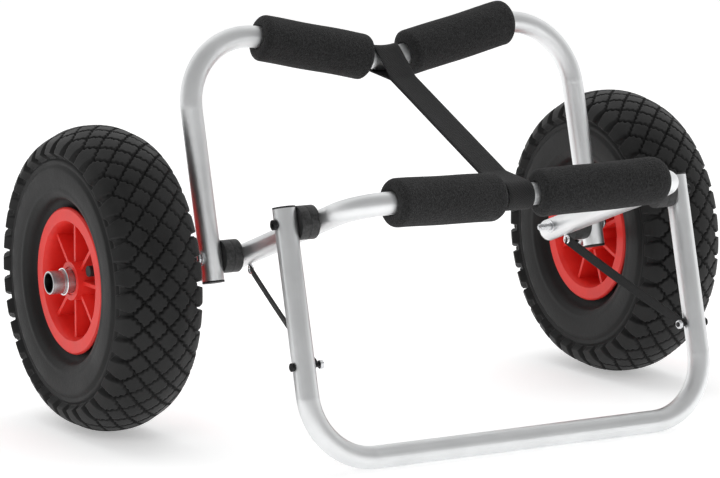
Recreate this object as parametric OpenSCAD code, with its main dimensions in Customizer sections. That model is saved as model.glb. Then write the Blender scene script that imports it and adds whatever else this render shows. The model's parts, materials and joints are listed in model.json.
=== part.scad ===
// Folding two-wheel boat trolley with a kick-stand.
// Two bent-tube bows cross on a pair of pivot bolts; a webbing strap limits how far they open.
// The front bow carries a U-shaped stand, held open by two webbing stays.
// Each wheel runs on a stub axle that a short bar behind the rear leg holds.
// X runs along the wheel axle, +Y is the rear, Z is up, the origin is on the ground
// under the middle of the trolley. All sizes are in millimetres.

/* [Tube] */
// outside diameter of all frame tubes
tube_od = 19; // [16:0.5:25]
// wall thickness of all frame tubes
tube_wall = 1.5; // [1:0.1:3]
// thickness of plastic between two crossing tubes
saddle_gap = 14; // [10:0.5:20]

/* [Rear bow] */
// distance between the rear legs, centre to centre
leg_spacing = 386; // [320:2:440]
// straight length from the pivot to the corner where leg and crossbar would meet
rear_length = 200; // [160:1:260]
// backward lean of the rear legs from vertical, degrees
rear_lean = 15; // [0:0.5:30]
// angle by which each half of the rear crossbar drops towards the middle, degrees
rear_vee = 12.4; // [0:0.2:20]
// centreline radius of the rear corner bends
rear_bend = 60; // [40:1:80]
// length of leg below the pivot
rear_tail = 20; // [14:1:30]

/* [Front bow] */
// straight length from the pivot to the corner where arm and crossbar would meet
front_length = 198; // [160:1:260]
// rise of the front arms above horizontal, degrees
front_rise = 19.7; // [5:0.1:40]
// angle by which each half of the front crossbar runs back towards the middle, degrees
front_vee = 6.6; // [0:0.2:15]
// centreline radius of the front corner bends
front_bend = 32; // [28:1:60]
// length of arm behind the pivot
front_tail = 20; // [14:1:30]

/* [Pivot] */
// distance of the pivot in front of the wheel axle
pivot_ahead = 67.5; // [40:0.5:100]
// height of the pivot above the ground
pivot_height = 151.7; // [130:0.1:180]

/* [Stand] */
// distance of the stand pivot along the front arm from the main pivot
stand_along = 137.5; // [100:0.5:160]
// forward lean of the stand legs from vertical, degrees
stand_lean = 14.8; // [0:0.2:30]
// centreline radius of the two lower stand corners
stand_bend = 55; // [40:1:80]
// length of leg above the stand pivot
stand_tail = 12.5; // [10:0.5:20]
// distance of the stay bolts below the stand pivot
stay_drop = 115.5; // [80:0.5:150]

/* [Wheels] */
// tyre outside diameter
tyre_od = 260; // [200:1:300]
// tyre width
tyre_width = 80; // [60:1:100]
// distance between the two wheel centres
track = 525; // [450:1:600]
// rim flange outside diameter
flange_od = 125; // [110:1:140]
// width over the two rim flanges
flange_width = 60; // [50:1:70]
// hub outside diameter
hub_od = 33; // [28:0.5:45]
// hub length
hub_length = 58; // [50:1:70]
// number of ribs on each side of the wheel web
rib_count = 8; // [5:1:12]
// stub axle outside diameter
axle_od = 20; // [15:0.5:25]
// distance from the middle of the trolley to the outer end of each stub axle
axle_reach = 311; // [300:1:330]

/* [Pads and webbing] */
// outside diameter of the foam pads
pad_od = 40; // [30:1:55]
// edge rounding of the foam pads
pad_round = 8; // [2:0.5:12]
// length of each foam pad
pad_length = 108; // [80:1:120]
// distance of the left and right pads from the middle of the rear crossbar
left_rear_start = 17; // [15:0.5:26]
right_rear_start = 22; // [15:0.5:26]
// distance of the left and right pads from the middle of the front crossbar
left_front_start = 18.5; // [15:0.5:20]
right_front_start = 19.5; // [15:0.5:20]
// width of the limiting strap
strap_width = 25; // [20:1:38]
// thickness of the limiting strap where it is doubled
strap_thick = 3; // [2:0.5:5]
// width of the stand stays
stay_width = 8; // [5:0.5:15]

/* [Hidden] */
$fn = 72;

tube_r = tube_od / 2;
bore_r = tube_r - tube_wall;
leg_x = leg_spacing / 2;
arm_x = leg_x - tube_od - saddle_gap;
saddle_mid_x = (leg_x + arm_x) / 2;
face_gap = 0.1;
bend_full = 0.02;
bend_lap = 0.3;
// the front pads reach furthest forward and the tyres furthest back
pad_far = right_front_start + pad_length - pad_round;
pad_out = front_length - arm_x * tan(front_vee) + pad_far * sin(front_vee);
pad_slant = sin(front_vee) * cos(front_rise);
front_reach = pivot_ahead + pad_out * cos(front_rise)
  + (pad_od / 2 - pad_round) * sqrt(1 - pow(pad_slant, 2)) + pad_round;
axle_y = (front_reach - tyre_od / 2) / 2;
pivot_y = axle_y - pivot_ahead;
stand_y = pivot_y - stand_along * cos(front_rise);
stand_z = pivot_height + stand_along * sin(front_rise);
stand_length = (stand_z - tube_r) / cos(stand_lean);
wheel_x = track / 2;
axle_z = tyre_od / 2;
// bolts
pivot_bolt_r = 3;
pivot_hole_r = 3.1;
small_bolt_r = 2.5;
small_hole_r = 2.6;
stay_bolt_r = 2;
stay_hole_r = 2.05;
leg_out_x = leg_x + tube_r;
// saddles are round about the bolt they sit on
saddle_r = 14;
saddle_cup = 1;
// bar that holds each stub axle behind its leg, from low on the leg to a boss on the axle
carrier_r = 6;
carrier_low = 14;
carrier_leg_x = leg_x + 2;
boss_r = 11.5;
boss_in_x = leg_x + 29;
boss_out_x = leg_x + 35;
carrier_leg_y = pivot_y - carrier_low * sin(rear_lean);
carrier_leg_z = pivot_height - carrier_low * cos(rear_lean);
carrier_dx = (boss_in_x + boss_out_x) / 2 - carrier_leg_x;
carrier_dy = axle_y - carrier_leg_y;
carrier_dz = axle_z - carrier_leg_z;
carrier_flat = sqrt(pow(carrier_dx, 2) + pow(carrier_dy, 2));
carrier_span = sqrt(pow(carrier_flat, 2) + pow(carrier_dz, 2));
axle_in_x = boss_in_x;
axle_r = axle_od / 2;
// outer end of each stub axle, turned down a little to take a cap
axle_end_r = axle_r - 0.2;
axle_end_length = 11;
axle_bore_r = axle_r - 2;
hub_in_x = wheel_x - hub_length / 2;
hub_out_x = wheel_x + hub_length / 2;
ring_x_pos = hub_out_x + 6.2;
ring_wire_r = 0.7;
// rim
flange_r = flange_od / 2;
flange_x = flange_width / 2;
barrel_r = 50;
seat_r = 55;
web_x = 5;
rib_thick = 3.2;
rib_x = 24;
hub_r = hub_od / 2;
bush_r = 12;
bush_recess = 1;
valve_turn_r = 33;
valve_x = 12;
// the two wheels stand at different angles on their axles
left_phase = 0;
right_phase = 22.5;
left_valve_angle = 157.5;
right_valve_angle = 135;
// tyre section
section_r = tyre_width / 2;
section_c = tyre_od / 2 - section_r;
tyre_wall = 7;

// ---- shared shapes ----

// one side of a bow, lying in the XY plane: leg, corner bend and half of the crossbar
// the bends are a hair fuller than the straight runs, which reach a little way into them,
// as a drawn tube is
module bow_half(half, length, bend, vee, vee_bend, tail, r, over) {
  turn = 90 + vee;
  run = bend * tan(turn / 2);
  mid_run = vee_bend * tan(vee);
  bar = half / cos(vee) - run - mid_run;
  end_x = half - bend - bend * sin(vee);
  end_y = length - run + bend * cos(vee);
  translate([half, -tail - over, 0])
    rotate([-90, 0, 0])
      cylinder(r = r, h = tail + over + length - run + bend_lap);
  translate([half - bend, length - run, 0])
    rotate_extrude(angle = turn)
      translate([bend, 0])
        circle(r = r + bend_full);
  translate([end_x, end_y, 0])
    rotate([0, 0, 180 + vee])
      translate([-bend_lap, 0, 0])
        rotate([0, 90, 0])
          cylinder(r = r, h = bar + 2 * bend_lap);
}

// a whole bow of one radius
module bow_solid(half, length, bend, vee, vee_bend, tail, r, over) {
  bow_half(half, length, bend, vee, vee_bend, tail, r, over);
  mirror([1, 0, 0])
    bow_half(half, length, bend, vee, vee_bend, tail, r, over);
  if (vee > 0)
    translate([0, length - half * tan(vee) + vee_bend / cos(vee), 0])
      rotate([0, 0, -90 - vee])
        rotate_extrude(angle = 2 * vee)
          translate([vee_bend, 0])
            circle(r = r + bend_full);
}

// a rod along X from x0 to x1
module rod_x(x0, x1, r) {
  translate([x0, 0, 0])
    rotate([0, 90, 0])
      cylinder(r = r, h = x1 - x0);
}

// a hollow rod along X
module ring_x(x0, x1, r_out, r_in) {
  difference() {
    rod_x(x0, x1, r_out);
    rod_x(x0 - 1, x1 + 1, r_in);
  }
}

// a hexagonal prism along X, size across flats
module hex_x(x0, x1, flats) {
  translate([x0, 0, 0])
    rotate([0, 90, 0])
      cylinder(r = flats / sqrt(3), h = x1 - x0, $fn = 6);
}

// the same thing on both sides of the trolley
module both_sides() {
  children();
  mirror([1, 0, 0])
    children();
}

// rear bow frame: local +Y runs up the legs
module at_rear_bow() {
  translate([0, pivot_y, pivot_height])
    rotate([90 - rear_lean, 0, 0])
      children();
}

// front bow frame: local +Y runs out along the arms
module at_front_bow() {
  translate([0, pivot_y, pivot_height])
    rotate([180 - front_rise, 0, 0])
      children();
}

// stand frame: local +Y runs down the stand legs
module at_stand() {
  translate([0, stand_y, stand_z])
    rotate([-90 - stand_lean, 0, 0])
      children();
}

// foam cylinder with rounded ends and a tube bore, along +X from 0
module pad_straight(length, bore) {
  rotate([0, 90, 0])
    rotate_extrude()
      difference() {
        union() {
          translate([0, pad_round])
            square([pad_od / 2, length - 2 * pad_round]);
          square([pad_od / 2 - pad_round, length]);
          translate([pad_od / 2 - pad_round, pad_round])
            circle(r = pad_round);
          translate([pad_od / 2 - pad_round, length - pad_round])
            circle(r = pad_round);
        }
        translate([-pad_od, -1])
          square([pad_od + bore, length + 2]);
      }
}

// pad on one half of a crossbar, starting at a distance from the middle of the bow
module pad_on_bar(half, length, vee, start) {
  translate([0, length - half * tan(vee), 0])
    rotate([0, 0, vee])
      translate([start, 0, 0])
        pad_straight(pad_length, tube_r + 0.6);
}

// half of a saddle: a round puck cupping a tube that runs along local Y at x = 0,
// reaching from the tube towards +X
module saddle_half(reach, hole) {
  difference() {
    rod_x(tube_r - saddle_cup, reach, saddle_r);
    rotate([90, 0, 0])
      cylinder(r = tube_r + 0.05, h = 60, center = true);
    rod_x(0, reach + 1, hole);
  }
}

// ---- rear bow ----

module rear_tube() {
  color([0.80, 0.81, 0.82])
    at_rear_bow()
      difference() {
        bow_solid(leg_x, rear_length, rear_bend, rear_vee, 60, rear_tail, tube_r, 0);
        bow_solid(leg_x, rear_length, rear_bend, rear_vee, 60, rear_tail, bore_r, 1);
        rod_x(-leg_x - tube_od, leg_x + tube_od, pivot_hole_r);
      }
}

// push-in plug with a thin rim, for a tube end at local y = 0 opening towards -Y
module end_plug() {
  rotate([90, 0, 0])
    cylinder(r = tube_r, h = 1.5);
  translate([0, 8, 0])
    rotate([90, 0, 0])
      cylinder(r = bore_r, h = 8);
}

module rear_end_plugs() {
  color([0.06, 0.06, 0.06])
    at_rear_bow()
      both_sides()
        translate([leg_x, -rear_tail, 0])
          end_plug();
}

module rear_pad_right() {
  color([0.10, 0.10, 0.10])
    at_rear_bow()
      pad_on_bar(leg_x, rear_length, rear_vee, right_rear_start);
}

module rear_pad_left() {
  color([0.10, 0.10, 0.10])
    at_rear_bow()
      mirror([1, 0, 0])
        pad_on_bar(leg_x, rear_length, rear_vee, left_rear_start);
}

// middle of each crossbar, where the strap loops round the tube
rear_mid = rear_length - leg_x * tan(rear_vee) + 60 / cos(rear_vee) - 60;
front_mid = front_length - arm_x * tan(front_vee) + 60 / cos(front_vee) - 60;
rear_mid_y = pivot_y + rear_mid * sin(rear_lean);
rear_mid_z = pivot_height + rear_mid * cos(rear_lean);
front_mid_y = pivot_y - front_mid * cos(front_rise);
front_mid_z = pivot_height + front_mid * sin(front_rise);
strap_span = sqrt(pow(rear_mid_y - front_mid_y, 2) + pow(rear_mid_z - front_mid_z, 2));
strap_pitch = atan2(rear_mid_z - front_mid_z, rear_mid_y - front_mid_y);
loop_in = tube_r + 1.6;
loop_out = loop_in + 2;

module limit_strap() {
  color([0.07, 0.07, 0.07])
    translate([0, front_mid_y, front_mid_z])
      rotate([strap_pitch, 0, 0])
        difference() {
          union() {
            rod_x(-strap_width / 2, strap_width / 2, loop_out);
            translate([0, strap_span, 0])
              rod_x(-strap_width / 2, strap_width / 2, loop_out);
            translate([-strap_width / 2, 0, -strap_thick / 2])
              cube([strap_width, strap_span, strap_thick]);
          }
          rod_x(-strap_width, strap_width, loop_in);
          translate([0, strap_span, 0])
            rod_x(-strap_width, strap_width, loop_in);
        }
}

module rear_saddles() {
  color([0.09, 0.09, 0.09])
    at_rear_bow()
      both_sides()
        translate([leg_x, 0, 0])
          mirror([1, 0, 0])
            saddle_half(leg_x - saddle_mid_x - face_gap, pivot_hole_r);
}

// round bar welded to the back of each leg, with a boss for the stub axle
module axle_carriers() {
  color([0.62, 0.63, 0.64])
    both_sides()
      difference() {
        union() {
          translate([carrier_leg_x, carrier_leg_y, carrier_leg_z])
            rotate([0, 0, -atan2(carrier_dx, carrier_dy)])
              rotate([-90 + atan2(carrier_dz, carrier_flat), 0, 0])
                cylinder(r = carrier_r, h = carrier_span - axle_r + 2);
          translate([0, axle_y, axle_z])
            rod_x(boss_in_x, boss_out_x, boss_r);
        }
        at_rear_bow()
          translate([leg_x, 0, 0])
            rotate([90, 0, 0])
              cylinder(r = tube_r + 0.05, h = 80, center = true);
        translate([0, axle_y, axle_z])
          rod_x(carrier_leg_x, boss_out_x + 1, axle_r + 0.05);
      }
}

module stub_axles() {
  color([0.72, 0.73, 0.74])
    both_sides()
      translate([0, axle_y, axle_z])
        difference() {
          union() {
            rod_x(axle_in_x, axle_reach - axle_end_length, axle_r);
            rod_x(axle_in_x, axle_reach, axle_end_r);
          }
          rod_x(axle_in_x - 1, axle_reach + 1, axle_bore_r);
          translate([ring_x_pos, 0, 0])
            cylinder(r = ring_wire_r + 0.1, h = 60, center = true);
        }
}

module axle_collars() {
  color([0.66, 0.67, 0.68])
    both_sides()
      translate([0, axle_y, axle_z])
        ring_x(hub_in_x - 5.3, hub_in_x - 0.3, 12, axle_r);
}

// spring-wire ring round each stub axle, with a straight leg through the cross hole
module retaining_rings() {
  color([0.85, 0.86, 0.87])
    both_sides()
      translate([ring_x_pos, axle_y, axle_z]) {
        rotate([0, 90, 0])
          rotate_extrude()
            translate([axle_r + 1.1, 0])
              circle(r = ring_wire_r);
        translate([0, 0, -axle_r - 1.1])
          cylinder(r = ring_wire_r - 0.1, h = 2 * axle_r + 2.2);
      }
}

// ---- front bow ----

module front_tube() {
  color([0.80, 0.81, 0.82])
    at_front_bow()
      difference() {
        bow_solid(arm_x, front_length, front_bend, front_vee, 60, front_tail, tube_r, 0);
        bow_solid(arm_x, front_length, front_bend, front_vee, 60, front_tail, bore_r, 1);
        rod_x(-arm_x - tube_od, arm_x + tube_od, pivot_hole_r);
        both_sides()
          rod_x(arm_x - tube_od, arm_x, insert_r);
        translate([0, stand_along, 0])
          rod_x(-arm_x - tube_od, arm_x + tube_od, small_hole_r);
        both_sides()
          translate([arm_x, eye_along, 0])
            cylinder(r = eye_shank_r, h = tube_od);
      }
}

// threaded insert that each pivot bolt screws into, and screw-eyes for the stays
insert_r = 4.5;
insert_in_x = arm_x - tube_r - 1;
eye_along = 6;
eye_shank_r = 1.6;
eye_drop = 14;

module front_end_plugs() {
  color([0.06, 0.06, 0.06])
    at_front_bow()
      both_sides()
        translate([arm_x, -front_tail, 0])
          end_plug();
}

module front_pad_right() {
  color([0.10, 0.10, 0.10])
    at_front_bow()
      pad_on_bar(arm_x, front_length, front_vee, right_front_start);
}

module front_pad_left() {
  color([0.10, 0.10, 0.10])
    at_front_bow()
      mirror([1, 0, 0])
        pad_on_bar(arm_x, front_length, front_vee, left_front_start);
}

module front_saddles() {
  color([0.09, 0.09, 0.09])
    at_front_bow()
      both_sides()
        translate([arm_x, 0, 0])
          saddle_half(saddle_mid_x - arm_x - face_gap, pivot_bolt_r);
}

module pivot_bolts() {
  color([0.75, 0.76, 0.77])
    translate([0, pivot_y, pivot_height])
      both_sides() {
        rod_x(arm_x - tube_r - 14, leg_out_x + 1.3, pivot_bolt_r);
        rod_x(leg_out_x + 1.3, leg_out_x + 4.3, 5);
      }
}

module pivot_washers() {
  color([0.70, 0.71, 0.72])
    translate([0, pivot_y, pivot_height])
      both_sides()
        ring_x(leg_out_x + 0.1, leg_out_x + 1.3, 6.5, pivot_bolt_r);
}

module pivot_insert_nuts() {
  color([0.60, 0.61, 0.62])
    translate([0, pivot_y, pivot_height])
      both_sides()
        difference() {
          union() {
            rod_x(insert_in_x, arm_x - 1, insert_r);
            rod_x(insert_in_x - 1, insert_in_x, 6);
          }
          rod_x(insert_in_x - 2, arm_x, pivot_bolt_r);
        }
}

module stand_inner_saddles() {
  color([0.09, 0.09, 0.09])
    at_front_bow()
      both_sides()
        translate([arm_x, stand_along, 0])
          saddle_half(saddle_mid_x - arm_x - face_gap, small_hole_r);
}

module stand_pivot_bolts() {
  color([0.08, 0.08, 0.08])
    translate([0, stand_y, stand_z])
      both_sides()
        difference() {
          union() {
            rod_x(arm_x - tube_r - 7, leg_out_x + 0.2, small_bolt_r);
            rod_x(leg_out_x + 0.2, leg_out_x + 2.8, 4.2);
          }
          hex_x(leg_out_x + 1.2, leg_out_x + 4, 3);
        }
}

module stand_pivot_nuts() {
  color([0.70, 0.71, 0.72])
    translate([0, stand_y, stand_z])
      both_sides()
        difference() {
          hex_x(arm_x - tube_r - 4.5, arm_x - tube_r, 8);
          rod_x(arm_x - tube_r - 10, arm_x - tube_r + 1, small_bolt_r);
        }
}

// a stay runs from the screw-eye under the arm to the bolt low on the stand leg
stay_top_x = arm_x;
stay_top_y = pivot_y - eye_along * cos(front_rise) - eye_drop * sin(front_rise);
stay_top_z = pivot_height + eye_along * sin(front_rise) - eye_drop * cos(front_rise);
stay_low_x = leg_x - tube_r - 2.6;
stay_low_y = stand_y - stay_drop * sin(stand_lean);
stay_low_z = stand_z - stay_drop * cos(stand_lean);
stay_dx = stay_low_x - stay_top_x;
stay_flat = sqrt(pow(stay_low_y - stay_top_y, 2) + pow(stay_low_z - stay_top_z, 2));
stay_len = sqrt(pow(stay_flat, 2) + pow(stay_dx, 2));
stay_pitch = atan2(stay_low_z - stay_top_z, stay_top_y - stay_low_y);

module stay_one() {
  translate([stay_top_x, stay_top_y, stay_top_z])
    rotate([-stay_pitch, 0, 0])
      rotate([0, 0, 180 + atan2(stay_dx, stay_flat)])
        translate([-0.8, 6, -stay_width / 2])
          cube([1.6, stay_len - 10, stay_width]);
}

module stay_right() {
  color([0.06, 0.06, 0.06])
    stay_one();
}

module stay_left() {
  color([0.06, 0.06, 0.06])
    mirror([1, 0, 0])
      stay_one();
}

module stay_eyes() {
  color([0.70, 0.71, 0.72])
    at_front_bow()
      both_sides()
        translate([arm_x, eye_along, 0]) {
          translate([0, 0, 6.5])
            cylinder(r = eye_shank_r, h = eye_drop - 9.5);
          translate([0, 0, eye_drop])
            rotate([0, 90, 0])
              rotate_extrude()
                translate([3.4, 0])
                  circle(r = 1.1);
        }
}

// ---- stand ----

module stand_tube() {
  color([0.80, 0.81, 0.82])
    at_stand()
      difference() {
        bow_solid(leg_x, stand_length, stand_bend, 0, 60, stand_tail, tube_r, 0);
        bow_solid(leg_x, stand_length, stand_bend, 0, 60, stand_tail, bore_r, 1);
        rod_x(-leg_x - tube_od, leg_x + tube_od, small_hole_r);
        translate([0, stay_drop, 0])
          rod_x(-leg_x - tube_od, leg_x + tube_od, stay_hole_r);
      }
}

module stand_end_plugs() {
  color([0.06, 0.06, 0.06])
    at_stand()
      both_sides()
        translate([leg_x, -stand_tail, 0])
          end_plug();
}

module stand_outer_saddles() {
  color([0.09, 0.09, 0.09])
    at_stand()
      both_sides()
        translate([leg_x, 0, 0])
          mirror([1, 0, 0])
            saddle_half(leg_x - saddle_mid_x - face_gap, small_hole_r);
}

module stay_bolts() {
  color([0.12, 0.12, 0.12])
    translate([0, stay_low_y, stay_low_z])
      both_sides() {
        rod_x(leg_x - tube_r - 8.5, leg_out_x, stay_bolt_r);
        rod_x(leg_out_x, leg_out_x + 2.2, 3.5);
      }
}

module stay_nuts() {
  color([0.70, 0.71, 0.72])
    translate([0, stay_low_y, stay_low_z])
      both_sides()
        difference() {
          hex_x(leg_x - tube_r - 7.8, leg_x - tube_r - 4.6, 7);
          rod_x(leg_x - tube_r - 12, leg_x - tube_r, stay_bolt_r);
        }
}

// ---- wheels, drawn about the axle line with the wheel centre at x = 0 ----

// rounded tyre section: width x is the local Y, radius is the local X
function tyre_arc(r, n, steps) = [
  for (i = [0 : steps])
    let (a = -150 + 300 * i / steps)
      [section_c + r * sign(cos(a)) * pow(abs(cos(a)), 2 / n),
       r * sign(sin(a)) * pow(abs(sin(a)), 2 / n)]
];

module about_x() {
  rotate([0, 90, 0])
    rotate_extrude($fn = 96)
      children();
}

module tyre() {
  about_x()
    difference() {
      intersection() {
        polygon(tyre_arc(section_r, 2.3, 36));
        translate([seat_r + 0.1, -section_r])
          square([tyre_od, tyre_width]);
      }
      polygon(tyre_arc(section_r - tyre_wall, 2.1, 28));
      translate([0, -14])
        square([section_c, 28]);
      translate([0, flange_x - 6.2])
        square([flange_r + 0.3, 20]);
      translate([0, -flange_x - 13.8])
        square([flange_r + 0.3, 20]);
    }
}

module inner_tube() {
  about_x()
    translate([section_c + 0.5, 0])
      difference() {
        circle(r = section_r - tyre_wall - 2);
        circle(r = section_r - tyre_wall - 4);
      }
}

module rim_body(phase, valve_angle) {
  difference() {
    union() {
      about_x()
        polygon([
          [barrel_r + 1, -flange_x], [flange_r - 1.5, -flange_x], [flange_r, -flange_x + 1.5],
          [flange_r, -flange_x + 3], [flange_r - 1.5, -flange_x + 4.5],
          [seat_r, -flange_x + 6], [seat_r, -14.5], [seat_r - 1.5, -13],
          [seat_r - 1.5, 13], [seat_r, 14.5],
          [seat_r, flange_x - 6], [flange_r - 1.5, flange_x - 4.5],
          [flange_r, flange_x - 3], [flange_r, flange_x - 1.5], [flange_r - 1.5, flange_x],
          [barrel_r + 1, flange_x], [barrel_r - 1.5, flange_x - 5], [barrel_r - 2.5, web_x],
          [barrel_r - 2.5, -web_x], [barrel_r - 1.5, -flange_x + 5]
        ]);
      about_x()
        translate([bush_r, -web_x / 2])
          square([barrel_r - bush_r, web_x]);
      rod_x(-hub_length / 2, hub_length / 2, hub_r);
      for (k = [0 : rib_count - 1])
        rotate([phase + k * 360 / rib_count, 0, 0])
          translate([-rib_x, hub_r - 2, -rib_thick / 2])
            cube([2 * rib_x, barrel_r - hub_r + 1, rib_thick]);
    }
    rod_x(-hub_length, hub_length, axle_r + 1);
    rod_x(hub_length / 2 - 20, hub_length, bush_r);
    rod_x(-hub_length, -hub_length / 2 + 20, bush_r);
    rotate([valve_angle, 0, 0])
      translate([valve_x, barrel_r - 6, 0])
        rotate([-90, 0, 0])
          cylinder(r = 4.2, h = 16);
  }
}

module hub_bush() {
  ring_x(hub_length / 2 - 20, hub_length / 2 - bush_recess, bush_r, axle_r + 0.05);
}

// rubber-based stem: through the rim barrel, then bent outwards along the axle
module valve(valve_angle) {
  rotate([valve_angle, 0, 0])
    translate([valve_x, 0, 0]) {
      translate([0, 38, 0])
        rotate([-90, 0, 0])
          cylinder(r = 4, h = seat_r - 38.2);
      translate([0, valve_turn_r, 0])
        rotate([-90, 0, 0])
          cylinder(r = 2.6, h = 6);
      translate([0, valve_turn_r, 0])
        sphere(r = 2.6);
      translate([0, valve_turn_r, 0])
        rod_x(0, 9, 2.6);
    }
}

module valve_cap(valve_angle) {
  rotate([valve_angle, 0, 0])
    translate([valve_x + 4, valve_turn_r, 0])
      difference() {
        rod_x(0, 10.5, 4.6);
        rod_x(-1, 6, 2.6);
      }
}

module at_wheel_right() {
  translate([wheel_x, axle_y, axle_z])
    children();
}

module at_wheel_left() {
  mirror([1, 0, 0])
    at_wheel_right()
      children();
}

module tyre_right() {
  color([0.11, 0.11, 0.11])
    at_wheel_right()
      tyre();
}

module tyre_left() {
  color([0.11, 0.11, 0.11])
    at_wheel_left()
      tyre();
}

module inner_tube_right() {
  color([0.05, 0.05, 0.05])
    at_wheel_right()
      inner_tube();
}

module inner_tube_left() {
  color([0.05, 0.05, 0.05])
    at_wheel_left()
      inner_tube();
}

module rim_right() {
  color([0.82, 0.10, 0.07])
    at_wheel_right()
      rim_body(right_phase, right_valve_angle);
}

module rim_left() {
  color([0.82, 0.10, 0.07])
    at_wheel_left()
      rim_body(left_phase, left_valve_angle);
}

module hub_bushes_right() {
  color([0.80, 0.10, 0.08])
    at_wheel_right()
      both_sides()
        hub_bush();
}

module hub_bushes_left() {
  color([0.80, 0.10, 0.08])
    at_wheel_left()
      both_sides()
        hub_bush();
}

module valve_right() {
  color([0.08, 0.08, 0.08])
    at_wheel_right()
      valve(right_valve_angle);
}

module valve_left() {
  color([0.08, 0.08, 0.08])
    at_wheel_left()
      valve(left_valve_angle);
}

module valve_cap_right() {
  color([0.05, 0.05, 0.05])
    at_wheel_right()
      valve_cap(right_valve_angle);
}

module valve_cap_left() {
  color([0.05, 0.05, 0.05])
    at_wheel_left()
      valve_cap(left_valve_angle);
}

rear_tube();
rear_end_plugs();
rear_pad_left();
rear_pad_right();
limit_strap();
rear_saddles();
axle_carriers();
stub_axles();
axle_collars();
retaining_rings();
front_tube();
front_end_plugs();
front_pad_left();
front_pad_right();
front_saddles();
pivot_bolts();
pivot_washers();
pivot_insert_nuts();
stand_inner_saddles();
stand_pivot_bolts();
stand_pivot_nuts();
stay_left();
stay_right();
stay_eyes();
stand_tube();
stand_end_plugs();
stand_outer_saddles();
stay_bolts();
stay_nuts();
tyre_left();
inner_tube_left();
rim_left();
hub_bushes_left();
valve_left();
valve_cap_left();
tyre_right();
inner_tube_right();
rim_right();
hub_bushes_right();
valve_right();
valve_cap_right();
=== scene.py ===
import json
import math

import bmesh
import bpy
import numpy as np
from mathutils import Matrix, Vector


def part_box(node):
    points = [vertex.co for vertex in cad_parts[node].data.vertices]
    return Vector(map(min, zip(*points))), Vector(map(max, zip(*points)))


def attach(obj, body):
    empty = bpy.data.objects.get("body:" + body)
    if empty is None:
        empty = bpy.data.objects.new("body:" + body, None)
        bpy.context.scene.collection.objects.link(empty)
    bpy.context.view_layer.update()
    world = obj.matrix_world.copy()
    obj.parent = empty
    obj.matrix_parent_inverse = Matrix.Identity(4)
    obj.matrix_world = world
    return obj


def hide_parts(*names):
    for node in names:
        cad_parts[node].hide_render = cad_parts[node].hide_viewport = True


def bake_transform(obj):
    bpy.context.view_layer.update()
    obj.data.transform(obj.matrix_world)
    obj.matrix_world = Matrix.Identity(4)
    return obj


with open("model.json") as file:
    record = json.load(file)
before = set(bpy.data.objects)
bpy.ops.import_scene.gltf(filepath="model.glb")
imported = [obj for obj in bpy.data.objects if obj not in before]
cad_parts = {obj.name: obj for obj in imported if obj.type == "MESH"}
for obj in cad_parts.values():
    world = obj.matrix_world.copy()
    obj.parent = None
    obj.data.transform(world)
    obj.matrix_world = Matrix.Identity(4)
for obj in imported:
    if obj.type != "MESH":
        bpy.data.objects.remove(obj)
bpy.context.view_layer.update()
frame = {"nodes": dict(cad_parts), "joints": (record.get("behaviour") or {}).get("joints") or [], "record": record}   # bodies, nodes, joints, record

MM = 0.001
TUBE_R = 9.5 * MM
joints = {j["name"]: j for j in frame["joints"]}
nodes = frame["nodes"]


# ---- places read from the frame ----

def side_box(node, side):
    """Box of the part of a CAD node that lies on one side of the trolley, as two arrays."""
    points = np.array([v.co for v in nodes[node].data.vertices])
    points = points[points[:, 0] * side > 0]
    return points.min(0), points.max(0)


def tube_centre(node, x):
    """Middle of a tube's section where it crosses the plane X = x."""
    mesh = nodes[node].data
    points = np.array([v.co for v in mesh.vertices])
    ends = points[np.array([e.vertices[:] for e in mesh.edges])]
    gap = ends[:, :, 0] - x
    cut = ends[gap[:, 0] * gap[:, 1] < 0]
    share = (x - cut[:, 0, 0]) / (cut[:, 1, 0] - cut[:, 0, 0])
    hits = cut[:, 0] + share[:, None] * (cut[:, 1] - cut[:, 0])
    low, high = hits.min(0), hits.max(0)
    return Vector((x, (low[1] + high[1]) / 2, (low[2] + high[2]) / 2))


# ---- node materials ----

def set_range(node, start, stop, low, high):
    """Sets a map-range node to map start to stop onto low to high."""
    for key, value in zip(("From Min", "From Max", "To Min", "To Max"), (start, stop, low, high)):
        node.inputs[key].default_value = value


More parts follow.
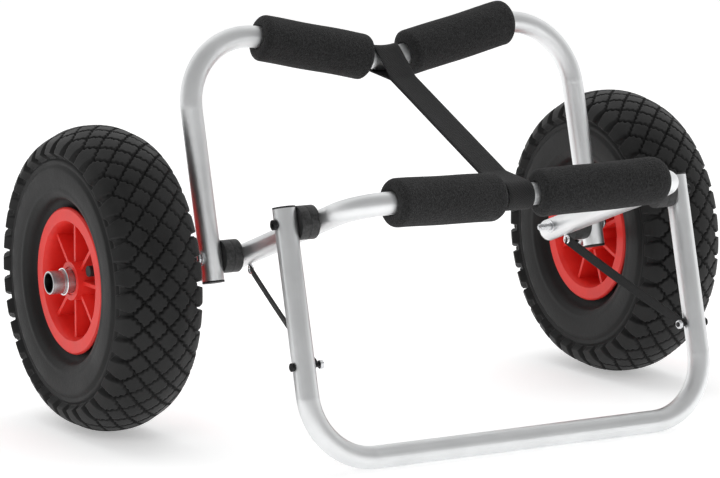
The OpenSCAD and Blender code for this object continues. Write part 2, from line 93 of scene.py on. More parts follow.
class Shader:
    """A Principled material with short calls for the nodes that the finishes below share."""

    def __init__(self, name, **inputs):
        self.material = bpy.data.materials.new(name)
        self.material.use_nodes = True
        self.tree = self.material.node_tree
        self.bsdf = self.tree.nodes["Principled BSDF"]
        self.coords = self.add("ShaderNodeTexCoord")
        for key, value in inputs.items():
            self.bsdf.inputs[key.replace("_", " ")].default_value = value

    def add(self, kind, **settings):
        node = self.tree.nodes.new(kind)
        for key, value in settings.items():
            setattr(node, key, value)
        return node

    def link(self, source, target):
        self.tree.links.new(source, target)

    def place(self, scale=(1, 1, 1)):
        """Object coordinates in metres, scaled along each axis."""
        mapping = self.add("ShaderNodeMapping")
        mapping.inputs["Scale"].default_value = scale
        self.link(self.coords.outputs["Object"], mapping.inputs["Vector"])
        return mapping.outputs["Vector"]

    def noise(self, per_metre, detail=3.0, rough=0.5, scale=(1, 1, 1)):
        node = self.add("ShaderNodeTexNoise")
        self.link(self.place(scale), node.inputs["Vector"])
        node.inputs["Scale"].default_value = per_metre
        node.inputs["Detail"].default_value = detail
        node.inputs["Roughness"].default_value = rough
        return node.outputs["Fac"]

    def cells(self, per_metre):
        node = self.add("ShaderNodeTexVoronoi", feature="F1")
        self.link(self.place(), node.inputs["Vector"])
        node.inputs["Scale"].default_value = per_metre
        return node.outputs["Distance"]

    def math(self, operation, first, second=0.0):
        node = self.add("ShaderNodeMath", operation=operation)
        for socket, value in zip(node.inputs, (first, second)):
            if isinstance(value, (int, float)):
                socket.default_value = value
            else:
                self.link(value, socket)
        return node.outputs[0]

    def spread(self, source, low, high, start=0.35, stop=0.65):
        """Maps the range start to stop of a value onto low to high."""
        node = self.add("ShaderNodeMapRange")
        self.link(source, node.inputs["Value"])
        set_range(node, start, stop, low, high)
        return node.outputs["Result"]

    def mix(self, factor, first, second):
        """Colour that goes from first to second as factor goes from 0 to 1."""
        node = self.add("ShaderNodeMix", data_type="RGBA")
        self.link(factor, node.inputs["Factor"])
        for key, value in (("A", first), ("B", second)):
            socket = [s for s in node.inputs if s.name == key and s.type == "RGBA"][0]
            if isinstance(value, tuple):
                socket.default_value = (*value, 1)
            else:
                self.link(value, socket)
        return [s for s in node.outputs if s.type == "RGBA"][0]

    def bump(self, *layers):
        """Stacks bump layers, each a height socket with its depth in metres."""
        below = None
        for height, depth in layers:
            node = self.add("ShaderNodeBump")
            node.inputs["Distance"].default_value = depth
            self.link(height, node.inputs["Height"])
            if below is not None:
                self.link(below, node.inputs["Normal"])
            below = node.outputs["Normal"]
        self.link(below, self.bsdf.inputs["Normal"])

    def colour(self, source):
        self.link(source, self.bsdf.inputs["Base Color"])

    def rough(self, source):
        self.link(source, self.bsdf.inputs["Roughness"])


def anodised_tube():
    """Satin natural anodising: fine blasted grain, faint handling marks."""
    s = Shader("anodised_tube", Metallic=1.0)
    grain = s.noise(5200, 2)
    clouds = s.noise(26, 4)
    marks = s.noise(90, 6, 0.75)
    s.colour(s.mix(s.spread(clouds, 0, 1), (0.80, 0.81, 0.815), (0.86, 0.87, 0.875)))
    s.rough(s.math("ADD", s.spread(marks, 0.38, 0.48, 0.4, 0.7), s.spread(grain, 0, 0.05)))
    s.bump((grain, 0.00003), (marks, 0.00006))
    return s.material


def turned_axle():
    """Turned aluminium: fine rings round the axle line, and painted shade that makes the bore dark."""
    s = Shader("turned_axle", Metallic=1.0)
    rings = s.noise(60, 3, 0.6, (90, 1, 1))
    skin = s.mix(s.spread(s.noise(120), 0, 1), (0.50, 0.51, 0.52), (0.66, 0.67, 0.68))
    axle = Vector(joints["wheel_left_spin"]["pos_m"])
    across = s.add("ShaderNodeVectorMath", operation="DISTANCE")
    s.link(s.place((0, 1, 1)), across.inputs[0])
    across.inputs[1].default_value = (0, axle.y, axle.z)
    # painted shade: from 9.2 mm in to 8.4 mm from the axle line the colour fades to near black,
    # standing in for the shadow inside the bore
    bore_painted_shade = s.spread(across.outputs["Value"], 0, 1, 8.4 * MM, 9.2 * MM)
    s.colour(s.mix(bore_painted_shade, (0.035, 0.04, 0.04), skin))
    s.rough(s.spread(rings, 0.26, 0.40))
    s.bump((rings, 0.00005))
    return s.material


def welded_bar():
    """Satin aluminium bar with the faint grain of a wire brush."""
    s = Shader("welded_bar", Metallic=1.0)
    brush = s.noise(900, 5, 0.65)
    s.colour(s.mix(s.spread(s.noise(45, 4), 0, 1), (0.52, 0.53, 0.54), (0.64, 0.65, 0.66)))
    s.rough(s.spread(brush, 0.42, 0.58))
    s.bump((brush, 0.00012))
    return s.material


def spring_wire():
    """Bright drawn spring steel."""
    s = Shader("spring_wire", Metallic=1.0)
    drawn = s.noise(700, 3)
    s.colour(s.mix(s.spread(drawn, 0, 1), (0.78, 0.79, 0.80), (0.90, 0.90, 0.91)))
    s.rough(s.spread(drawn, 0.12, 0.24))
    s.bump((drawn, 0.00002))
    return s.material


def zinc_fastener():
    """Bright zinc plating with a slightly cloudy sheen."""
    s = Shader("zinc_fastener", Metallic=1.0)
    cloud = s.noise(160, 4, 0.6)
    s.colour(s.mix(s.spread(cloud, 0, 1), (0.60, 0.61, 0.63), (0.76, 0.77, 0.78)))
    s.rough(s.spread(cloud, 0.20, 0.34))
    s.bump((s.noise(2400, 2), 0.00003))
    return s.material


def black_bolt():
    """Black-oxide steel, rubbed lighter in places."""
    s = Shader("black_bolt", Metallic=0.6)
    rub = s.noise(420, 4, 0.6)
    s.colour(s.mix(s.spread(rub, 0, 1, 0.5, 0.75), (0.012, 0.012, 0.013), (0.05, 0.05, 0.052)))
    s.rough(s.spread(rub, 0.32, 0.48))
    s.bump((rub, 0.00005))
    return s.material


def moulded_plastic(name, dark, light, per_metre, rough_low, rough_high, depth):
    """Moulded black plastic with a spark-eroded skin and a mottled tone."""
    s = Shader(name)
    mottle = s.noise(per_metre, 5, 0.7)
    skin = s.noise(3000, 2)
    s.colour(s.mix(s.spread(mottle, 0, 1, 0.4, 0.7), dark, light))
    s.rough(s.spread(mottle, rough_low, rough_high))
    s.bump((skin, depth * 0.4), (mottle, depth))
    return s.material


def red_rim(name):
    """Half-gloss red polypropylene with faint flow marks."""
    s = Shader(name, Subsurface_Weight=0.04, Subsurface_Scale=0.003, Specular_IOR_Level=0.3)
    flow = s.noise(38, 4, 0.6)
    skin = s.noise(1800, 3)
    s.colour(s.mix(s.spread(flow, 0, 1), (0.74, 0.026, 0.020), (0.84, 0.040, 0.031)))
    s.rough(s.spread(flow, 0.34, 0.46))
    s.bump((skin, 0.00004), (flow, 0.0001))
    return s.material


def tyre_rubber():
    """Matte tyre rubber: greyer bloom in places, fine moulded grain."""
    s = Shader("tyre_rubber", Specular_IOR_Level=0.2)
    bloom = s.noise(22, 5, 0.6)
    grain = s.noise(1500, 4, 0.6)
    s.colour(s.mix(s.spread(bloom, 0, 1), (0.011, 0.011, 0.011), (0.020, 0.020, 0.020)))
    s.rough(s.spread(bloom, 0.46, 0.60))
    s.bump((grain, 0.0001), (s.noise(240, 4), 0.0002))
    return s.material


def closed_cell_foam():
    """Closed-cell foam: a skin of tiny cells with a speckle of lighter cell walls."""
    s = Shader("closed_cell_foam", Sheen_Weight=0.06, Specular_IOR_Level=0.12)
    s.bsdf.inputs["Sheen Roughness"].default_value = 0.6
    cells = s.cells(900)
    speckle = s.noise(620, 5, 0.85)
    dents = s.noise(110, 3)
    s.colour(s.mix(s.spread(speckle, 0, 1, 0.38, 0.66), (0.006, 0.006, 0.006), (0.040, 0.040, 0.041)))
    s.rough(s.spread(speckle, 0.82, 0.95))
    s.bump((dents, 0.0008), (speckle, 0.0007), (cells, 0.0005))
    return s.material


def webbing(name, pitch):
    """Plain-woven black webbing. Its UV map is in metres, along and across the band."""
    s = Shader(name, Sheen_Weight=0.05, Specular_IOR_Level=0.25)
    split = s.add("ShaderNodeSeparateXYZ")
    s.link(s.coords.outputs["UV"], split.inputs["Vector"])
    along = s.math("MULTIPLY", split.outputs["X"], 2 * math.pi / pitch)
    across = s.math("MULTIPLY", split.outputs["Y"], 2 * math.pi / pitch)
    twill = s.math("SINE", s.math("ADD", along, across))
    picks = s.math("SINE", s.math("SUBTRACT", along, across))
    weave = s.math("ADD", s.math("MULTIPLY", twill, 0.7), s.math("MULTIPLY", picks, 0.3))
    fuzz = s.noise(2600, 3, 0.7)
    s.colour(s.mix(s.spread(weave, 0, 1, -0.7, 0.9), (0.003, 0.003, 0.003), (0.040, 0.040, 0.041)))
    s.rough(s.spread(fuzz, 0.62, 0.82))
    s.bump((fuzz, 0.0001), (weave, 0.0004))
    return s.material


# ---- mesh helpers ----

def grid_piece(name, points, wrap_rows, wrap_cols, uv=None):
    """Mesh from a rows by columns array of points. With wrap, the last row or column joins the first.

    uv, when given, has a value for each row and column plus the repeated one at a wrap."""
    rows, cols = points.shape[:2]
    row_faces = rows if wrap_rows else rows - 1
    col_faces = cols if wrap_cols else cols - 1
    i, j = np.meshgrid(np.arange(row_faces), np.arange(col_faces), indexing="ij")
    i, j = i.ravel(), j.ravel()
    corners = [(i, j), (i, j + 1), (i + 1, j + 1), (i + 1, j)]
    faces = np.stack([(a % rows) * cols + b % cols for a, b in corners], 1)
    mesh = bpy.data.meshes.new(name)
    mesh.from_pydata(points.reshape(-1, 3).tolist(), [], faces.tolist())
    if uv is not None:
        layer = mesh.uv_layers.new(name="metres")
        values = np.stack([uv[a, b] for a, b in corners], 1)
        layer.data.foreach_set("uv", values.astype(np.float32).ravel())
    mesh.polygons.foreach_set("use_smooth", np.ones(len(faces), bool))
    close_and_face_out(mesh)
    return new_piece(name, mesh)


def close_and_face_out(mesh):
    """Merges the points of each collapsed row into one and turns every face outward."""
    shape = bmesh.new()
    shape.from_mesh(mesh)
    bmesh.ops.remove_doubles(shape, verts=shape.verts, dist=0.001 * MM)
    bmesh.ops.recalc_face_normals(shape, faces=shape.faces)
    shape.to_mesh(mesh)
    shape.free()


def new_piece(name, mesh):
    """Object for a mesh, linked into the scene."""
    piece = bpy.data.objects.new(name, mesh)
    bpy.context.scene.collection.objects.link(piece)
    return piece


def close_ends(points):
    """Adds a collapsed first and last row, so that a lathe of open profile becomes a closed solid."""
    first = points[:1].mean(1, keepdims=True).repeat(points.shape[1], 1)
    last = points[-1:].mean(1, keepdims=True).repeat(points.shape[1], 1)
    return np.concatenate([first, points, last])


def weld(piece):
    """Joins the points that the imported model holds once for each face."""
    modifier = piece.modifiers.new("weld", "WELD")
    modifier.merge_threshold = 0.01 * MM


def round_edges(piece, width):
    """Rounds the edges that are sharper than 32 degrees."""
    modifier = piece.modifiers.new("round", "BEVEL")
    modifier.width = width
    modifier.segments = 3
    modifier.limit_method = "ANGLE"
    modifier.angle_limit = math.radians(32)
    modifier.harden_normals = True


def finish_piece(piece, material, slot, body, *stands_for):
    """Gives a Blender piece its material and body, and hides the CAD nodes that it stands for. The slot
    argument is not used.
    """
    piece.data.materials.clear()
    piece.data.materials.append(material)
    if body is not None:
        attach(piece, body)
    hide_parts(*stands_for)


# ---- tyres ----

PITCHES = 36            # tread pitches round the tyre
TREAD_ROW = 22 * MM     # width of one diamond across the tread
STAIR = 0.05            # half height of the grooves' stair steps, as a share of a diamond
GROOVE = 3.4 * MM       # depth of the grooves between the diamonds
SLOT = 5.0 * MM         # depth of the slots between the shoulder lugs
LUG_START = 32 * MM     # distances from the crown, along the section
LUG_SPLIT = 30 * MM
LUG_END_R = 107.5 * MM  # radii on the side wall
OUTER_RING_R = 102.5 * MM
INNER_RING_R = 76 * MM
SEAT_R = 55.2 * MM      # where the bead sits on the rim
BEAD_TOE = 15 * MM      # from the tyre's middle to the inner end of a bead
TYRE_WALL = 7 * MM      # thickness of the tyre
WALL_STEP = 2.2 * MM    # how far the wall lies below the plain section
GUTTER_R = 99 * MM      # the wall is sunk from here out to the lugs
GUTTER = 1.8 * MM
SHOULDER = 3.0 * MM     # how far the shoulder lugs stand proud of the plain section
HOLLOW = 4.5 * MM       # how far the wall falls back where it meets the rim
OUTER_RING = 1.8 * MM   # heights and half widths of the two raised rings on the side wall
OUTER_RING_HALF = 1.3 * MM
INNER_RING = 0.8 * MM
INNER_RING_HALF = 1.8 * MM
SECTION_POWER = 2 / 2.3 # 1 would be a round section, less is squarer
SECTION_REACH = math.radians(132)
TREAD_STEP = 0.8 * MM   # mesh spacing across the tread
WALL_ROWS = 26
STEPS_PER_PITCH = 25
RIM_GAP = 0.35 * MM     # between the tyre's bead and the top of the rim's flange
FLANGE_GRIP = 6.3 * MM  # how far inside the rim's width the bead lies


def smooth(value, low, high):
    """0 below low, 1 above high, smooth in between."""
    t = np.clip((value - low) / (high - low), 0, 1)
    return t * t * (3 - 2 * t)


def from_whole(value):
    """Distance of each value from the nearest whole number."""
    return np.abs(value - np.round(value))


def zigzag(value):
    """Triangle wave from -1 to 1 with a period of 1."""
    return 4 * from_whole(value) - 1


def tyre_section(radius, width, flange_top):
    """Outline of the tyre's outside from bead to bead: radius, x and arc length from the crown."""
    half = width / 2
    centre = radius - half
    angle = np.linspace(-SECTION_REACH, SECTION_REACH, 4001)
    r = centre + half * np.sign(np.cos(angle)) * np.abs(np.cos(angle)) ** SECTION_POWER
    x = half * np.sign(np.sin(angle)) * np.abs(np.sin(angle)) ** SECTION_POWER
    keep = r > flange_top
    r, x = r[keep], x[keep]
    arc = np.concatenate([[0], np.cumsum(np.hypot(np.diff(r), np.diff(x)))])
    arc -= arc[-1] / 2
    return r, x, arc


def tread_depth(arc, turn, lug_end):
    """How far the surface lies below the block tops, for an arc length and a turn in pitches."""
    across = arc / TREAD_ROW
    u = across + turn
    v = across - turn
    stairs_u = STAIR * zigzag(3 * v)
    stairs_v = STAIR * zigzag(3 * u)
    diamond = np.minimum(from_whole(u + stairs_u), from_whole(v + stairs_v))
    near = np.abs(arc)
    crown = GROOVE * (1 - smooth(diamond, 0.03, 0.075))
    crown = crown * (1 - smooth(near, LUG_START, LUG_START + 2 * MM))
    widen = smooth(near, LUG_START, lug_end)
    slot = 1 - smooth(from_whole(turn + 0.5), 0.05 + 0.09 * widen, 0.10 + 0.13 * widen)
    slot = SLOT * slot * smooth(near, LUG_SPLIT, LUG_SPLIT + 2 * MM)
    depth = np.maximum(crown, slot) - SHOULDER * smooth(near, 22 * MM, 40 * MM)
    wall = smooth(near, lug_end, lug_end + 2 * MM)
    return depth * (1 - wall) + WALL_STEP * wall


def tyre_stops(r, arc):
    """Places across the section where the mesh has a row, and where the shoulder lugs end."""
    right = len(r) // 2
    lug_end = arc[np.argmin(np.abs(r[right:] - LUG_END_R)) + right]
    tread = np.arange(0, lug_end + 3 * MM, TREAD_STEP)
    wall = np.linspace(tread[-1] + 1.2 * MM, arc[-1], WALL_ROWS)
    half = np.concatenate([tread, wall])
    return np.concatenate([-half[:0:-1], half]), lug_end


def wall_lift(r, on_wall, flange_top):
    """Height of the side wall's rings, with its sunken gutter and the hollow beside the rim."""
    outer_ring = np.exp(-((r - OUTER_RING_R) / OUTER_RING_HALF) ** 2) * on_wall
    inner_ring = np.exp(-((r - INNER_RING_R) / INNER_RING_HALF) ** 2) * on_wall
    gutter = smooth(r, GUTTER_R - 3 * MM, GUTTER_R) * on_wall
    hollow = (1 - smooth(r, flange_top + 1 * MM, flange_top + 9 * MM)) * on_wall
    return OUTER_RING * outer_ring + INNER_RING * inner_ring - GUTTER * gutter - HOLLOW * hollow


def tyre_mesh(side):
    """One tyre with diamond tread, shoulder lugs and a ringed side wall, about the wheel's own axle."""
    low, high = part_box("tyre_" + side)
    rim_low, rim_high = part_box("rim_" + side)
    radius = (high.z - low.z) / 2
    width = high.x - low.x
    flange_top = (rim_high.z - rim_low.z) / 2 + RIM_GAP
    flange_inner = (rim_high.x - rim_low.x) / 2 - FLANGE_GRIP
    r, x, arc = tyre_section(radius, width, flange_top)
    stops, lug_end = tyre_stops(r, arc)
    r = np.interp(stops, arc, r)
    x = np.interp(stops, arc, x)
    normal_r, normal_x = np.gradient(x, stops), -np.gradient(r, stops)
    length = np.hypot(normal_r, normal_x)
    turns = np.arange(PITCHES * STEPS_PER_PITCH) / STEPS_PER_PITCH
    depth = tread_depth(stops[:, None], turns[None, :], lug_end)
    lift = wall_lift(r, np.abs(stops) > lug_end, flange_top)
    out = lift[:, None] - depth
    rr = r[:, None] + out * (normal_r / length)[:, None]
    xx = x[:, None] + out * (normal_x / length)[:, None]
    inside = bead_and_liner(flange_top, flange_inner, radius, width)
    rr = np.concatenate([rr, np.repeat(inside[:, :1], len(turns), 1)])
    xx = np.concatenate([xx, np.repeat(inside[:, 1:], len(turns), 1)])
    angle = turns * 2 * math.pi / PITCHES
    return np.stack([xx, rr * np.sin(angle), rr * np.cos(angle)], 2)


def bead_and_liner(flange_top, flange_inner, radius, width):
    """The hidden rest of the section: both beads against the rim and the liner between them."""
    centre = radius - width / 2
    angle = np.linspace(math.radians(130), -math.radians(130), 25)
    liner_r = width / 2 - TYRE_WALL
    liner = np.stack([centre + liner_r * np.cos(angle), liner_r * np.sin(angle)], 1)
    right = [(flange_top, flange_inner), (SEAT_R, flange_inner), (SEAT_R, BEAD_TOE)]
    left = [(SEAT_R, -BEAD_TOE), (SEAT_R, -flange_inner), (flange_top, -flange_inner)]
    return np.array(right + liner.tolist() + left)


def tyres():
    """Both tyres, each on its wheel."""
    rubber = tyre_rubber()
    for side in ("left", "right"):
        piece = grid_piece("tyre_tread_" + side, tyre_mesh(side), True, True)
        piece.location = joints[f"wheel_{side}_spin"]["pos_m"]
        finish_piece(piece, rubber, "tyre", "wheel_" + side, "tyre_" + side)


# ---- foam pads ----

PAD_R = 20 * MM
PAD_ROUND = 6 * MM
PAD_BORE = 9.9 * MM
PAD_ANGLES = np.linspace(0, 2 * math.pi, 96, endpoint=False)
PAD_SLIDE = {"rear_pad_left": 0, "rear_pad_right": 4 * MM,
             "front_pad_left": 1 * MM, "front_pad_right": 9 * MM}


def pad_path(tube, start, stop, side):
    """Centreline of a crossbar between two distances from the middle, on one side."""
    xs = side * np.linspace(start, stop, 41)
    points = np.array([tube_centre(tube, x) for x in xs])
    steps = np.linalg.norm(np.diff(points, axis=0), axis=1)
    return points, np.concatenate([[0], np.cumsum(steps)])


def along_path(points, distance, stations):
    """Points at the given distances along a path."""
    return np.stack([np.interp(stations, distance, points[:, k]) for k in range(3)], 1)


def sweep(points, distance, stations, radii):
    """Surface swept along a path: a ring of the given radius, or radii, at each station."""
    path = along_path(points, distance, stations)
    ahead = along_path(points, distance, stations + 2 * MM)
    behind = along_path(points, distance, stations - 2 * MM)
    tangent = ahead - behind
    tangent /= np.linalg.norm(tangent, axis=1, keepdims=True)
    first = np.cross(tangent, [0.0, 0.0, 1.0])
    first /= np.linalg.norm(first, axis=1, keepdims=True)
    second = np.cross(tangent, first)
    ring = (first[:, None] * np.cos(PAD_ANGLES)[None, :, None]
            + second[:, None] * np.sin(PAD_ANGLES)[None, :, None])
    return path[:, None] + ring * radii[..., None]


def pad_profile(length):
    """Stations and radii of a pad's closed profile: bore, rounded end, outside, rounded end."""
    turn = np.linspace(0, math.pi / 2, 9)
    start_s = PAD_ROUND * (1 - np.sin(turn))
    start_r = PAD_R - PAD_ROUND * (1 - np.cos(turn))
    body = np.linspace(PAD_ROUND, length - PAD_ROUND, 60)[1:-1]
    outside_s = np.concatenate([start_s[::-1], body, length - start_s])
    outside_r = np.concatenate([start_r[::-1], np.full(len(body), PAD_R), start_r])
    lip = 1.2 * MM
    face_s = [0.6 * MM, 0, 0]
    face_r = [PAD_BORE, PAD_BORE + lip, PAD_R - PAD_ROUND - lip]
    inside_s = np.linspace(length - 0.6 * MM, 0.6 * MM, 12)[1:-1]
    s = np.concatenate([face_s, outside_s, length - np.array(face_s)[::-1], inside_s])
    r = np.concatenate([face_r, outside_r, face_r[::-1], np.full(len(inside_s), PAD_BORE)])
    return s, r


def foam_pad(node, side, start, stop, material):
    """One foam sleeve on a crossbar, with the soft swell and dents of real foam."""
    end = node.split("_")[0]
    points, distance = pad_path(end + "_tube", start, stop, side)
    length = distance[-1]
    s, r = pad_profile(length)
    along = s[:, None] / length
    wobble = (0.25 * np.sin(3 * PAD_ANGLES + 1.3) * np.sin(7 * along + side)
              + 0.20 * np.sin(5 * PAD_ANGLES) * np.cos(11 * along))
    radii = r[:, None] + MM * wobble * smooth(r, PAD_R - PAD_ROUND, PAD_R)[:, None]
    piece = grid_piece("foam_" + node, sweep(points, distance, s, radii), True, True)
    finish_piece(piece, material, "foam", end + "_frame", node)


def foam_pads():
    """The four pads. The right-hand ones reach a little way round the bend of their bow."""
    foam = closed_cell_foam()
    for node, slide in PAD_SLIDE.items():
        side = -1 if node.endswith("left") else 1
        low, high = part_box(node)
        ends = sorted((abs(low.x), abs(high.x)))
        lean = tilt_of(node) * PAD_R
        foam_pad(node, side, ends[0] + lean, ends[1] - lean + slide, foam)


def tilt_of(node):
    """Sine of the angle between a straight pad and the X axis."""
    low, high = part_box(node)
    size = high - low
    rise = math.hypot(size.y - 2 * PAD_R, size.z - 2 * PAD_R)
    return max(0.0, math.sin(math.atan2(rise, size.x)))


# ---- webbing ----

WEBBING = 1.5 * MM      # thickness of the webbing
STRAP_GAP = 0.9 * MM    # half the distance between the middles of the strap's two layers
STRAP_NECK = 36 * MM    # from a crossbar's centre to where the two layers meet
STAY_WIDTH = 8 * MM
STAY_TWIST = math.radians(17)
STAY_SAG = 1.5 * MM
STAY_INSET = 6.9 * MM   # from the inner end of the stay's bolt to the middle of the stay
EYE_R = 4.5 * MM        # outer radius of the screw-eyes


def band(line, across, width, closed, shift=None):
    """Points and UV of a flat webbing band that follows a line.

    across is the band's width direction at each point of the line. shift, when given, is a function
    that says how far the band moves at a place across its width."""
    tangent = np.roll(line, -1, 0) - np.roll(line, 1, 0) if closed else np.gradient(line, axis=0)
    normal = np.cross(tangent, across)
    normal /= np.linalg.norm(normal, axis=1, keepdims=True)
    edge = np.array([-1, -0.95, -0.6, -0.2, 0.2, 0.6, 0.95, 1]) * width / 2
    bulge = np.array([0.45, 1, 1, 1, 1, 1, 1, 0.45]) * WEBBING / 2
    places = np.concatenate([edge, edge[::-1]])
    lifts = np.concatenate([bulge, -bulge[::-1]])
    shifts = [0 if shift is None else shift(place) for place in places]
    rows = [line + across * place + normal * lift + moved
            for place, lift, moved in zip(places, lifts, shifts)]
    points = np.stack(rows)
    steps = np.linalg.norm(np.diff(line, axis=0), axis=1)
    travel = np.concatenate([[0], np.cumsum(steps)])
    if closed:
        travel = np.append(travel, travel[-1] + np.linalg.norm(line[0] - line[-1]))
    else:
        caps = points.mean(0)
        points = np.concatenate([np.broadcast_to(caps[0], points[:, :1].shape), points,
                                 np.broadcast_to(caps[-1], points[:, :1].shape)], 1)
        travel = np.concatenate([[0], travel, travel[-1:]])
    uv = np.stack(np.broadcast_arrays(travel, np.append(places, places[0])[:, None]), 2)
    return points, uv


def loop_outline(span, radius, gap, neck):
    """Closed outline, in its own plane, of an endless band pulled tight between two round bars."""
    reach = math.hypot(neck, gap)
    touch = math.acos((radius - gap) / reach)
    angle = np.linspace(touch, 2 * math.pi - touch, 40)
    near = np.stack([radius * np.cos(angle), radius * np.sin(angle)], 1)
    far = np.stack([span - near[:, 0], -near[:, 1]], 1)
    corners = np.concatenate([near, [[neck, -gap], [span - neck, -gap]], far,
                              [[span - neck, gap], [neck, gap]]])
    closed = np.concatenate([corners, corners[:1]])
    steps = np.concatenate([[0], np.cumsum(np.linalg.norm(np.diff(closed, axis=0), axis=1))])
    even = np.linspace(0, steps[-1], int(steps[-1] / MM), endpoint=False)
    line = np.stack([np.interp(even, steps, closed[:, k]) for k in range(2)], 1)
    return sum(np.roll(line, k, 0) for k in range(-2, 3)) / 5


def limit_strap(material):
    """Endless webbing strap round the middle of both crossbars, two layers thick in between."""
    low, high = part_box("limit_strap")
    width = high.x - low.x
    front, rear = np.array(tube_centre("front_tube", 0.0)), np.array(tube_centre("rear_tube", 0.0))
    ahead = (rear - front) / np.linalg.norm(rear - front)
    above = np.cross([1.0, 0, 0], ahead)
    span = np.linalg.norm(rear - front)
    outline = loop_outline(span, TUBE_R + 0.5 * MM + WEBBING, STRAP_GAP, STRAP_NECK)
    line = front + outline[:, :1] * ahead + outline[:, 1:] * above
    share = smooth(outline[:, :1], 0.15 * span, 0.85 * span)

    def follow_bend(place):
        at_front = np.array(tube_centre("front_tube", place)) - front
        at_rear = np.array(tube_centre("rear_tube", place)) - rear
        sag = at_front * (1 - share) + at_rear * share
        return sag * [0, 1, 1]

    across = np.broadcast_to([1.0, 0, 0], line.shape)
    points, uv = band(line, across, width, True, follow_bend)
    piece = grid_piece("webbing_limit_strap", points, True, True, uv)
    finish_piece(piece, material, "webbing", None, "limit_strap")
    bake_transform(piece)


def stay_ends(side):
    """Middle of the screw-eye and the place on the stand's low bolt that a stay runs between."""
    eye_low, eye_high = side_box("stay_eyes", side)
    bolt_low, bolt_high = side_box("stay_bolts", side)
    top = np.array([(eye_low[0] + eye_high[0]) / 2, eye_low[1] + EYE_R, eye_low[2] + EYE_R])
    inner = min(abs(bolt_low[0]), abs(bolt_high[0]))
    foot = np.array([side * (inner + STAY_INSET), (bolt_low[1] + bolt_high[1]) / 2,
                     (bolt_low[2] + bolt_high[2]) / 2])
    return top, foot


def stays(material):
    """Flat webbing stays from the screw-eyes to the low bolts of the stand, slightly twisted."""
    for side_name, side in (("left", -1), ("right", 1)):
        node = "stay_" + side_name
        top, foot = stay_ends(side)
        ahead = foot - top
        length = np.linalg.norm(ahead)
        ahead /= length
        place = np.linspace(0, 1, 90)
        line = top + np.outer(place * length, ahead)
        line[:, 2] -= STAY_SAG * np.sin(math.pi * place)
        flat = np.cross(ahead, [1.0, 0, 0])
        flat /= np.linalg.norm(flat)
        upright = np.cross(flat, ahead)
        turn = side * STAY_TWIST * smooth(1 - place, 0.0, 0.30)
        across = flat * np.cos(turn)[:, None] + upright * np.sin(turn)[:, None]
        points, uv = band(line, across, STAY_WIDTH, False)
        piece = grid_piece("webbing_" + node, points, True, False, uv)
        finish_piece(piece, material, "webbing", None, node)
        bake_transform(piece)


# ---- pivot bolts ----

THREAD_R = 3 * MM
THREAD_PITCH = 1.0 * MM
THREAD_CUT = 0.45 * MM
THREAD_LENGTH = 25 * MM
HEAD_R = 5 * MM
HEAD_HEIGHT = 3 * MM
SOCKET_FLATS = 4 * MM
SOCKET_DEPTH = 1.8 * MM


def hex_radius(angle, flats):
    """Distance from the centre of a hexagon to its side in a given direction."""
    sector = math.pi / 3
    return flats / 2 / np.cos((angle + sector / 2) % sector - sector / 2)


def cut_thread(side, inner, angle):
    """Places along X and radii of the bolt's threaded end, which starts at the distance inner."""
    x = np.arange(inner, inner + THREAD_LENGTH + THREAD_PITCH, THREAD_PITCH / 8)
    phase = x[:, None] / THREAD_PITCH - side * angle[None, :] / (2 * math.pi)
    cut = THREAD_CUT * (1 - np.abs(2 * (phase % 1) - 1))
    taper = 0.8 * MM * (1 - smooth(x, inner, inner + 1.2 * MM))
    run_out = 1 - smooth(x, inner + THREAD_LENGTH - 3 * MM, inner + THREAD_LENGTH)
    return x, THREAD_R - cut * run_out[:, None] - taper[:, None]


def pivot_bolt(side, low, high):
    """Button-head M6 bolt along X with a cut thread at its free end and a hexagon socket."""
    inner, outer = sorted((abs(low[0]), abs(high[0])))
    under_head = outer - HEAD_HEIGHT
    angle = np.linspace(0, 2 * math.pi, 72, endpoint=False)
    thread_x, thread = cut_thread(side, inner, angle)
    dome = np.linspace(0, math.pi / 2, 9)
    dome_x = under_head + (0.5 + 2.5 * np.sin(dome)) * MM
    dome_r = (3.0 + 2.0 * np.cos(dome)) * MM
    shank_x = [thread_x[-1] + THREAD_PITCH, under_head - 0.01 * MM, under_head]
    plain = np.concatenate([[THREAD_R, THREAD_R, HEAD_R], dome_r])
    plain = np.repeat(plain[:, None], len(angle), 1)
    socket = np.repeat(hex_radius(angle, SOCKET_FLATS)[None, :], 2, 0)
    radii = np.concatenate([thread, plain, socket])
    x = np.concatenate([thread_x, shank_x, dome_x, [outer, outer - SOCKET_DEPTH]])
    centre = (low + high) / 2
    points = np.stack([np.broadcast_to(side * x[:, None], radii.shape),
                       centre[1] + radii * np.cos(angle), centre[2] + radii * np.sin(angle)], 2)
    return close_ends(points)


def pivot_bolts(material):
    """Both pivot bolts, in place of their plain CAD shapes."""
    for side_name, side in (("left", -1), ("right", 1)):
        low, high = side_box("pivot_bolts", side)
        piece = grid_piece("pivot_bolt_" + side_name, pivot_bolt(side, low, high), False, True)
        finish_piece(piece, material, "fastener", "front_frame", "pivot_bolts")


# ---- CAD nodes shown as packed, with small edge rounds ----

EDGE = {"tube": 0.3, "plug": 0.4, "saddle": 1.4, "carrier": 0.8, "axle": 0.4, "wire": 0,
        "fastener": 0.5, "black_bolt": 0.6, "tube_rubber": 0.3, "rim": 0.7, "bush": 0.5}


def dress_cad_nodes(finishes):
    """Gives every CAD node its slot's material and rounds its edges."""
    for part in frame["record"]["subparts"]:
        node = nodes[part["node"]]
        slot = part["material_slot"]
        if slot not in finishes:
            continue
        node.data.materials.clear()
        node.data.materials.append(finishes[slot])
        weld(node)
        if EDGE[slot]:
            round_edges(node, EDGE[slot] * MM)


# ---- studio ----

FLOOR_HALF = 12.0
FLOOR_GLOW = 0.375


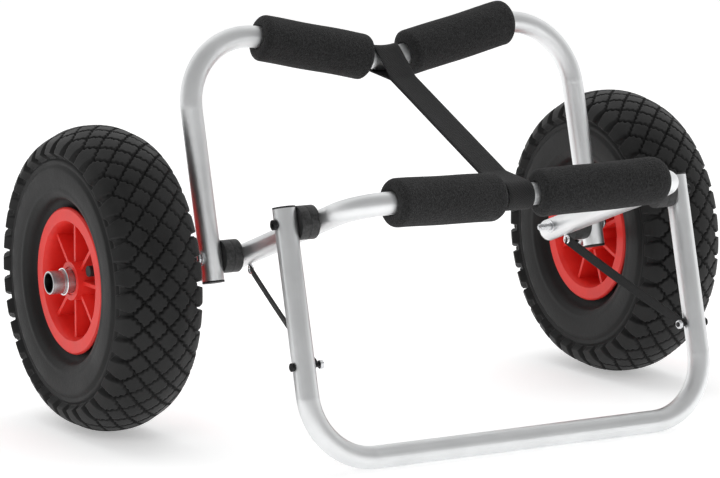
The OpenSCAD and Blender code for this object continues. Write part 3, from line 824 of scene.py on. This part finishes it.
def floor():
    """Pale paper floor with a glow of its own, so that it stays white with soft shadows."""
    mesh = bpy.data.meshes.new("floor")
    corners = [(x * FLOOR_HALF, y * FLOOR_HALF, 0) for x, y in ((-1, -1), (1, -1), (1, 1), (-1, 1))]
    mesh.from_pydata(corners, [], [(0, 1, 2, 3)])
    piece = new_piece("floor", mesh)
    s = Shader("floor_paper", Roughness=0.9, Specular_IOR_Level=0.1)
    s.colour(s.mix(s.spread(s.noise(3, 3), 0, 1), (0.90, 0.90, 0.90), (0.92, 0.92, 0.92)))
    s.bsdf.inputs["Emission Color"].default_value = (1, 1, 1, 1)
    s.bsdf.inputs["Emission Strength"].default_value = FLOOR_GLOW
    piece.data.materials.append(s.material)


def softbox(name, place, aim, size, power):
    """Rectangular soft lamp that metal doesn't mirror."""
    lamp = bpy.data.lights.new(name, "AREA")
    lamp.shape = "RECTANGLE"
    lamp.size, lamp.size_y = size
    lamp.energy = power
    piece = bpy.data.objects.new(name, lamp)
    piece.location = place
    piece.rotation_euler = (Vector(aim) - Vector(place)).to_track_quat("-Z", "Y").to_euler()
    piece.visible_glossy = False
    bpy.context.scene.collection.objects.link(piece)


VIEW_AZIMUTH, VIEW_ELEVATION, VIEW_ROLL = (math.radians(a) for a in (-30.49, 9.21, -0.17))
TO_CAMERA = Vector((math.sin(VIEW_AZIMUTH) * math.cos(VIEW_ELEVATION),
                    -math.cos(VIEW_AZIMUTH) * math.cos(VIEW_ELEVATION), math.sin(VIEW_ELEVATION)))
FOCAL_LENGTH = 172.4
CAMERA_X = -1.5338
CAMERA_FROM_AXLE = -2.5921
CAMERA_HEIGHT = 0.6310
TOWARDS_CAMERA = 0.42   # how bright the surround is behind the camera, as light


def world_light():
    """White surround for the camera. As light it is darker behind the camera, to shade the metal."""
    world = bpy.data.worlds.new("studio")
    world.use_nodes = True
    bpy.context.scene.world = world
    tree = world.node_tree
    back = tree.nodes["Background"]
    coords = tree.nodes.new("ShaderNodeTexCoord")
    facing = tree.nodes.new("ShaderNodeVectorMath")
    facing.operation = "DOT_PRODUCT"
    facing.inputs[1].default_value = TO_CAMERA
    ramp = tree.nodes.new("ShaderNodeMapRange")
    set_range(ramp, -0.5, 0.35, 1.0, TOWARDS_CAMERA)
    ramp.interpolation_type = "SMOOTHSTEP"
    path = tree.nodes.new("ShaderNodeLightPath")
    seen = tree.nodes.new("ShaderNodeMath")
    seen.operation = "MAXIMUM"
    tree.links.new(coords.outputs["Generated"], facing.inputs[0])
    tree.links.new(facing.outputs["Value"], ramp.inputs["Value"])
    tree.links.new(ramp.outputs["Result"], seen.inputs[0])
    tree.links.new(path.outputs["Is Camera Ray"], seen.inputs[1])
    tree.links.new(seen.outputs[0], back.inputs["Strength"])
    back.inputs["Color"].default_value = (1, 1, 1, 1)


def camera():
    """Long-lens camera in front of the left wheel, a little above the trolley's middle."""
    lens = bpy.data.cameras.new("camera")
    lens.lens = FOCAL_LENGTH
    lens.sensor_width = 36.0
    lens.clip_end = 100.0
    piece = bpy.data.objects.new("camera", lens)
    aim = TO_CAMERA.to_track_quat("Z", "Y").to_matrix().to_4x4()
    axle_y = joints["wheel_left_spin"]["pos_m"][1]
    place = Matrix.Translation((CAMERA_X, axle_y + CAMERA_FROM_AXLE, CAMERA_HEIGHT))
    piece.matrix_world = place @ (aim @ Matrix.Rotation(-VIEW_ROLL, 4, "Z"))
    bpy.context.scene.collection.objects.link(piece)
    bpy.context.scene.camera = piece


zinc = zinc_fastener()
black_webbing = webbing("black_webbing", 1.6 * MM)
dress_cad_nodes({
    "tube": anodised_tube(),
    "plug": moulded_plastic("plug_plastic", (0.008, 0.008, 0.008), (0.02, 0.02, 0.02),
                            900, 0.5, 0.65, 0.00008),
    "saddle": moulded_plastic("saddle_plastic", (0.008, 0.008, 0.008), (0.050, 0.050, 0.051),
                              330, 0.42, 0.62, 0.0003),
    "carrier": welded_bar(),
    "axle": turned_axle(),
    "wire": spring_wire(),
    "fastener": zinc,
    "black_bolt": black_bolt(),
    "tube_rubber": moulded_plastic("smooth_rubber", (0.012, 0.012, 0.012), (0.025, 0.025, 0.025),
                                   300, 0.45, 0.6, 0.0001),
    "rim": red_rim("red_rim"),
    "bush": red_rim("red_bush"),
})
tyres()
foam_pads()
limit_strap(black_webbing)
stays(black_webbing)
pivot_bolts(zinc)
floor()
softbox("key", (-2.2, -2.4, 2.6), (0, 0, 0.15), (1.8, 1.8), 26)
softbox("fill", (2.6, -1.8, 1.8), (0, 0, 0.15), (2.0, 1.4), 8)
softbox("top", (0.2, 0.6, 2.8), (0, 0, 0.1), (2.4, 2.4), 22)
world_light()
camera()
bpy.context.scene.view_settings.view_transform = "Standard"
